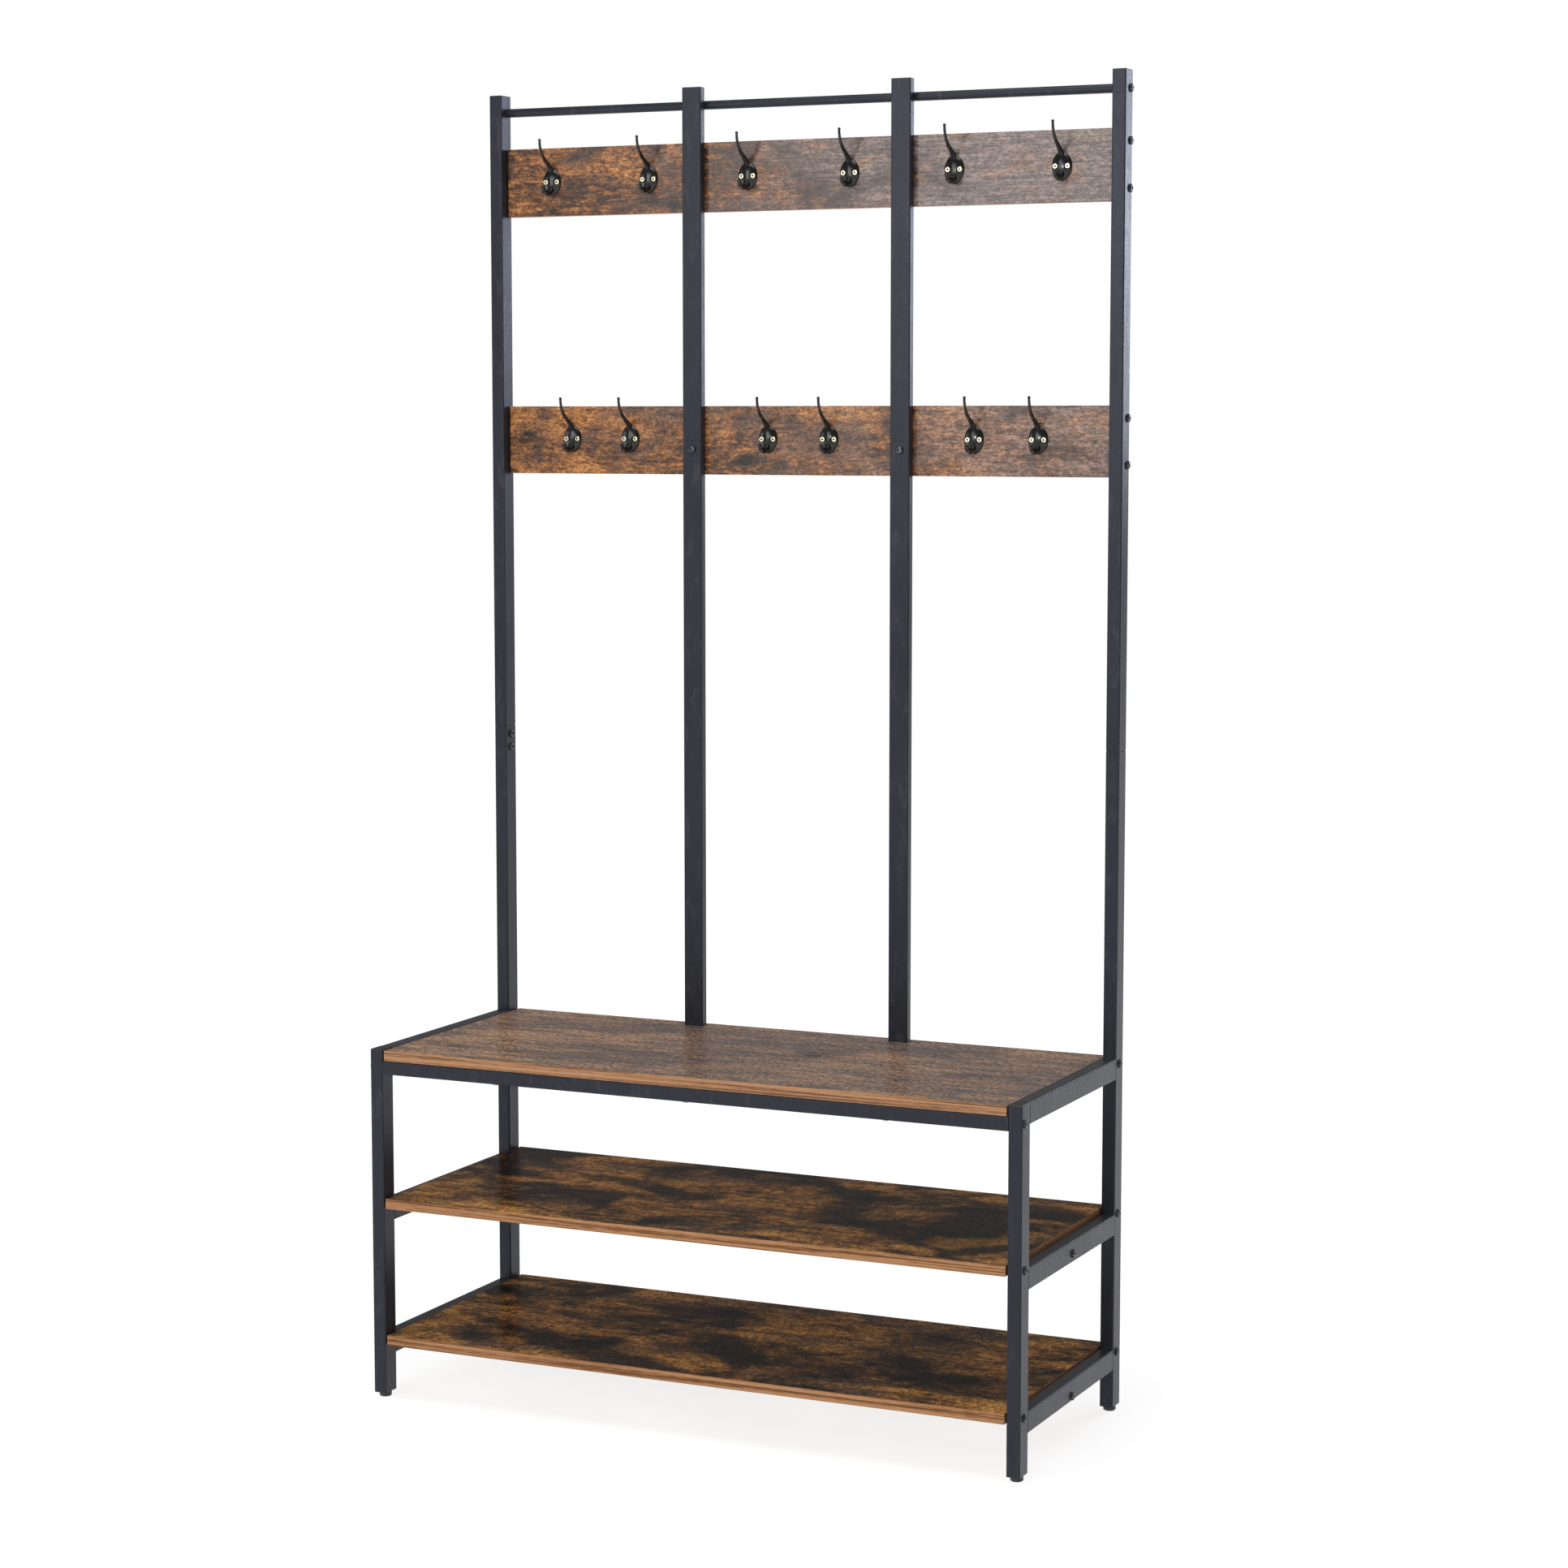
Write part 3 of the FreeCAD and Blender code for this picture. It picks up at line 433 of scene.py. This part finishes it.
def make_floor():
    """A plain pale floor that fades into the white backdrop."""
    mesh = bpy.data.meshes.new("studio_floor")
    plane = bmesh.new()
    bmesh.ops.create_grid(plane, x_segments=8, y_segments=8, size=FLOOR_HALF)
    plane.to_mesh(mesh)
    plane.free()
    floor = bpy.data.objects.new("studio_floor", mesh)
    bpy.context.scene.collection.objects.link(floor)
    g = Graph("pale_floor", Emission_Strength=1.0, Specular_IOR_Level=0.2)
    speck = g.noise((3.0, 3.0, 3.0), 12.0, detail=4.0)
    distance = g.length(g.place((1.0, 1.0, 0.0)))
    g.set(g.shader.inputs["Emission Color"], g.ramp(g.remap(distance, GLOW_NEAR, GLOW_FAR), FLOOR_GLOW))
    g.surface(g.mix(speck, (0.31, 0.31, 0.313), (0.35, 0.35, 0.35)), g.remap(speck, 0.3, 0.7, 0.55, 0.65))
    mesh.materials.append(g.material)


def make_light(name, place, target, width, height, watts, colour):
    """A rectangular softbox at place that faces target."""
    data = bpy.data.lights.new(name, "AREA")
    data.shape = "RECTANGLE"
    data.size = width
    data.size_y = height
    data.energy = watts
    data.color = colour
    light = bpy.data.objects.new(name, data)
    light.location = place
    light.rotation_euler = (Vector(target) - Vector(place)).to_track_quat("-Z", "Y").to_euler()
    bpy.context.scene.collection.objects.link(light)


def make_world():
    """A white backdrop that lights the object less than it shows."""
    world = bpy.data.worlds.new("white_studio")
    world.use_nodes = True
    background = world.node_tree.nodes["Background"]
    background.inputs["Color"].default_value = (1.0, 1.0, 1.0, 1.0)
    path = world.node_tree.nodes.new("ShaderNodeLightPath")
    strength = world.node_tree.nodes.new("ShaderNodeMapRange")
    strength.inputs["To Min"].default_value = BACKDROP_LIGHT
    strength.inputs["To Max"].default_value = BACKDROP_SHOWN
    world.node_tree.links.new(path.outputs["Is Camera Ray"], strength.inputs["Value"])
    world.node_tree.links.new(strength.outputs["Result"], background.inputs["Strength"])
    bpy.context.scene.world = world


def make_camera():
    """The photographer's place, to the front and right of the hall tree."""
    data = bpy.data.cameras.new("photo_camera")
    data.sensor_width = CAMERA_SENSOR
    data.lens = CAMERA_LENS
    data.clip_end = 100.0
    camera = bpy.data.objects.new("photo_camera", data)
    camera.location = CAMERA_PLACE
    camera.rotation_euler = (math.radians(90.0 - CAMERA_DOWN), 0.0, math.radians(CAMERA_TURN))
    bpy.context.scene.collection.objects.link(camera)
    bpy.context.scene.camera = camera


make_floor()
make_world()
make_camera()
for light_name, settings in LIGHTS.items():
    make_light(light_name, *settings)
bpy.context.scene.view_settings.view_transform = "Standard"
